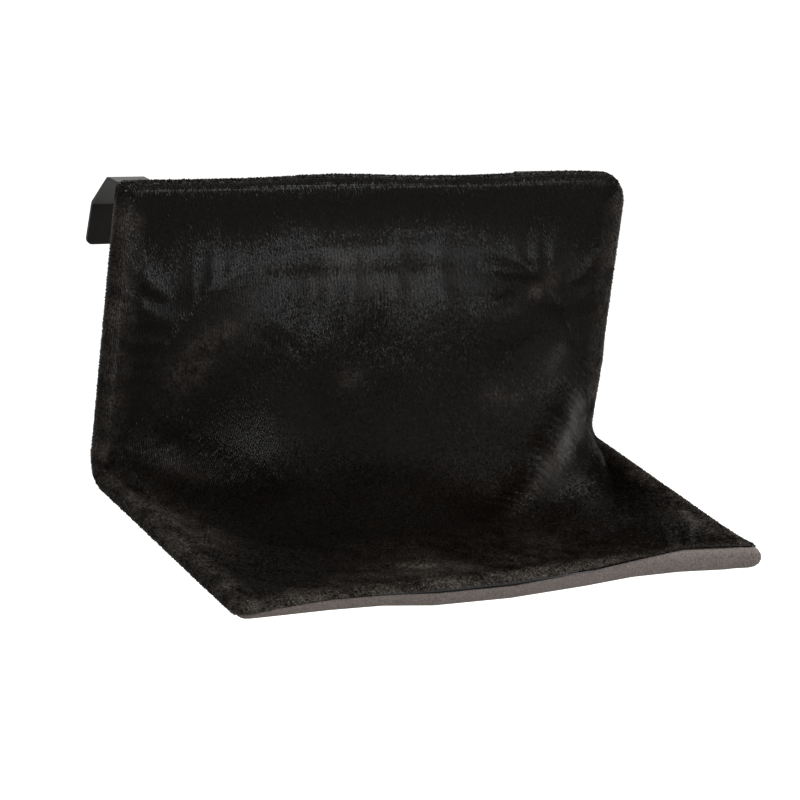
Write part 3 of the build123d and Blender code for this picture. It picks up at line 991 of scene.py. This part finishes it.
class HAMMOCK_OT_closure(bpy.types.Operator):
    """Make the two halves of the hook-and-loop closure, each a woven tape with its rows of hooks or loops"""

    bl_idname = "hammock.closure"
    bl_label = "Closure Tapes"

    def execute(self, context):
        settings = context.scene.hammock_closure
        for name, node, facing, pitch in (
            ("hook_tape", "closure_hook_tape", 1, 1.6 * MM),
            ("loop_tape", "closure_loop_tape", -1, 1.1 * MM),
        ):
            low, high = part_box(node)
            size = high - low
            columns, rows = round(size.x / pitch), round(size.z / pitch)
            bm = bmesh.new()
            lay = Matrix.Translation((low + high) / 2) @ Matrix.Rotation(math.radians(90), 4, "X")
            bmesh.ops.create_grid(bm, x_segments=columns, y_segments=rows, size=1.0)
            bmesh.ops.scale(bm, verts=bm.verts, vec=(size.x / 2, size.z / 2, 1))
            bmesh.ops.transform(bm, matrix=lay, verts=bm.verts)
            # The tape's two long edges stay bare selvage, and the cells between them carry the hooks
            middle, hooked = (low.z + high.z) / 2, size.z / 2 - SELVAGE
            cells = [f for f in bm.faces if abs(f.calc_center_median().z - middle) < hooked]
            back = (low.y + settings.weave / 2) if facing > 0 else (high.y - settings.weave / 2)
            for vertex in bm.verts:
                vertex.co.y = back + facing * settings.weave / 2
            shell = bmesh.ops.extrude_face_region(bm, geom=list(bm.faces))["geom"]
            behind = [g for g in shell if isinstance(g, bmesh.types.BMVert)]
            bmesh.ops.translate(bm, verts=behind, vec=(0, -facing * settings.weave, 0))
            tips = bmesh.ops.poke(bm, faces=cells, center_mode="MEAN")["verts"]
            random = np.random.default_rng(17)
            for tip in tips:
                lean = random.uniform(-0.25, 0.25, 2) * pitch
                reach = facing * (size.y - settings.weave) * random.uniform(0.75, 1.0)
                tip.co += Vector((lean[0], reach, lean[1]))
            bmesh.ops.recalc_face_normals(bm, faces=bm.faces)
            tape = to_object(bm, name, [tape_material(settings)])
            dress(tape, [node])
        return {"FINISHED"}


class HAMMOCK_OT_finishes(bpy.types.Operator):
    """Give the tubes, brackets, hooks and fasteners their paint and plating"""

    bl_idname = "hammock.finishes"
    bl_label = "Metal Finishes"

    def execute(self, context):
        settings = context.scene.hammock_metal
        hooks = powder_coat("satin_powder_coat", settings.hook_colour, 0.42, 0.6 * MM)
        tubes = powder_coat("gloss_powder_coat", settings.tube_colour, 0.34, 0.9 * MM)
        zinc = zinc_plate("zinc_plate", settings.zinc_colour)
        for name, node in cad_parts.items():
            finish = hooks if "hook" in name else tubes
            if "clamp" in name or "screw" in name:
                finish = zinc
            for place in node.material_slots:
                place.material = finish
        return {"FINISHED"}


CAMERA_RIGHT = Vector((0.84133, -0.52756, 0.11762)).normalized()
CAMERA_UP = Vector((0.05421, 0.29886, 0.95275)).normalized()
# Name, place, size in metres and watts
LAMPS = (("key_light", (1.3, -1.9, 1.5), 0.8, 52.0), ("top_light", (0.3, 0.5, 2.2), 0.9, 38.0))
LAMP_AIM = Vector((0, -0.1, -0.1))
FLOOR_GLOW = 0.75  # of its own, for the camera alone, as the photograph's floor is white
SURROUND_LIGHT = 0.3  # how much of the white that the camera and gleams see falls on the object


class HAMMOCK_OT_stage(bpy.types.Operator):
    """Set up the camera at the photograph's angle, the pale floor, the soft lamps and the white surround"""

    bl_idname = "hammock.stage"
    bl_label = "Stage"

    def execute(self, context):
        settings = context.scene.hammock_stage
        scene = context.scene
        camera = bpy.data.objects.new("camera", bpy.data.cameras.new("camera"))
        scene.collection.objects.link(camera)
        back = CAMERA_RIGHT.cross(CAMERA_UP).normalized()
        turn = Matrix((CAMERA_RIGHT, back.cross(CAMERA_RIGHT), back)).transposed()
        camera.matrix_world = Matrix.Translation(settings.camera_place) @ turn.to_4x4()
        camera.data.lens = settings.lens
        camera.data.clip_end = 50
        scene.camera = camera

        low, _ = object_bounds()
        bm = bmesh.new()
        bmesh.ops.create_grid(bm, x_segments=1, y_segments=1, size=6.0)
        bmesh.ops.translate(bm, verts=bm.verts, vec=(0, 0, low.z - settings.floor_drop))
        material, tree, shader = start_material("pale_floor")
        feed(tree, shader, {"Base Color": rgba(linear("e8e8e6")), "Roughness": 0.9})
        rays = add(tree, "LightPath").node.outputs
        white = add(tree, "Emission", {"Color": (1, 1, 1, 1), "Strength": FLOOR_GLOW})
        both = add(tree, "AddShader", {0: shader.outputs[0], 1: white})
        seen = add(tree, "MixShader", {0: rays["Is Camera Ray"], 1: shader.outputs[0], 2: both})
        feed(tree, tree.nodes["Material Output"], {"Surface": seen})
        floor = to_object(bm, "floor", [material])
        floor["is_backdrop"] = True

        world = bpy.data.worlds.new("studio")
        scene.world = world
        world.use_nodes = True
        tree = world.node_tree
        rays = add(tree, "LightPath").node.outputs
        seen = rays["Is Camera Ray"]
        for ray in ("Is Glossy Ray", "Is Transmission Ray"):
            seen = add(tree, "Math", {0: seen, 1: rays[ray]}, operation="MAXIMUM")
        level = add(tree, "MapRange", {"Value": seen, "To Min": SURROUND_LIGHT, "To Max": 1.0})
        feed(tree, tree.nodes["Background"], {"Color": (1, 1, 1, 1), "Strength": level})

        for name, place, size, power in LAMPS:
            lamp = bpy.data.objects.new(name, bpy.data.lights.new(name, "AREA"))
            lamp.data.size = size
            lamp.data.energy = power
            lamp.location = place
            aim = LAMP_AIM - Vector(place)
            lamp.rotation_euler = aim.to_track_quat("-Z", "Y").to_euler()
            scene.collection.objects.link(lamp)
        scene.view_settings.view_transform = "Standard"
        return {"FINISHED"}


class HAMMOCK_PT_panel(bpy.types.Panel):
    bl_idname = "HAMMOCK_PT_panel"
    bl_label = "Hammock"
    bl_space_type = "VIEW_3D"
    bl_region_type = "UI"
    bl_category = "Hammock"

    def draw(self, context):
        for operator in OPERATORS:
            self.layout.operator(operator.bl_idname)


SETTINGS = {
    "hammock_plush": PlushSettings,
    "hammock_lining": LiningSettings,
    "hammock_closure": ClosureSettings,
    "hammock_metal": MetalSettings,
    "hammock_stage": StageSettings,
}
OPERATORS = (HAMMOCK_OT_stage, HAMMOCK_OT_plush, HAMMOCK_OT_lining, HAMMOCK_OT_closure, HAMMOCK_OT_finishes)


def register():
    for cls in (*SETTINGS.values(), *OPERATORS, HAMMOCK_PT_panel):
        bpy.utils.register_class(cls)
    for name, cls in SETTINGS.items():
        setattr(bpy.types.Scene, name, bpy.props.PointerProperty(type=cls))


def unregister():
    for name in SETTINGS:
        delattr(bpy.types.Scene, name)
    for cls in reversed((*SETTINGS.values(), *OPERATORS, HAMMOCK_PT_panel)):
        bpy.utils.unregister_class(cls)


def main():
    register()
    bpy.ops.hammock.stage()
    bpy.ops.hammock.plush()
    bpy.ops.hammock.lining()
    bpy.ops.hammock.closure()
    bpy.ops.hammock.finishes()


if __name__ == "__main__":
    main()
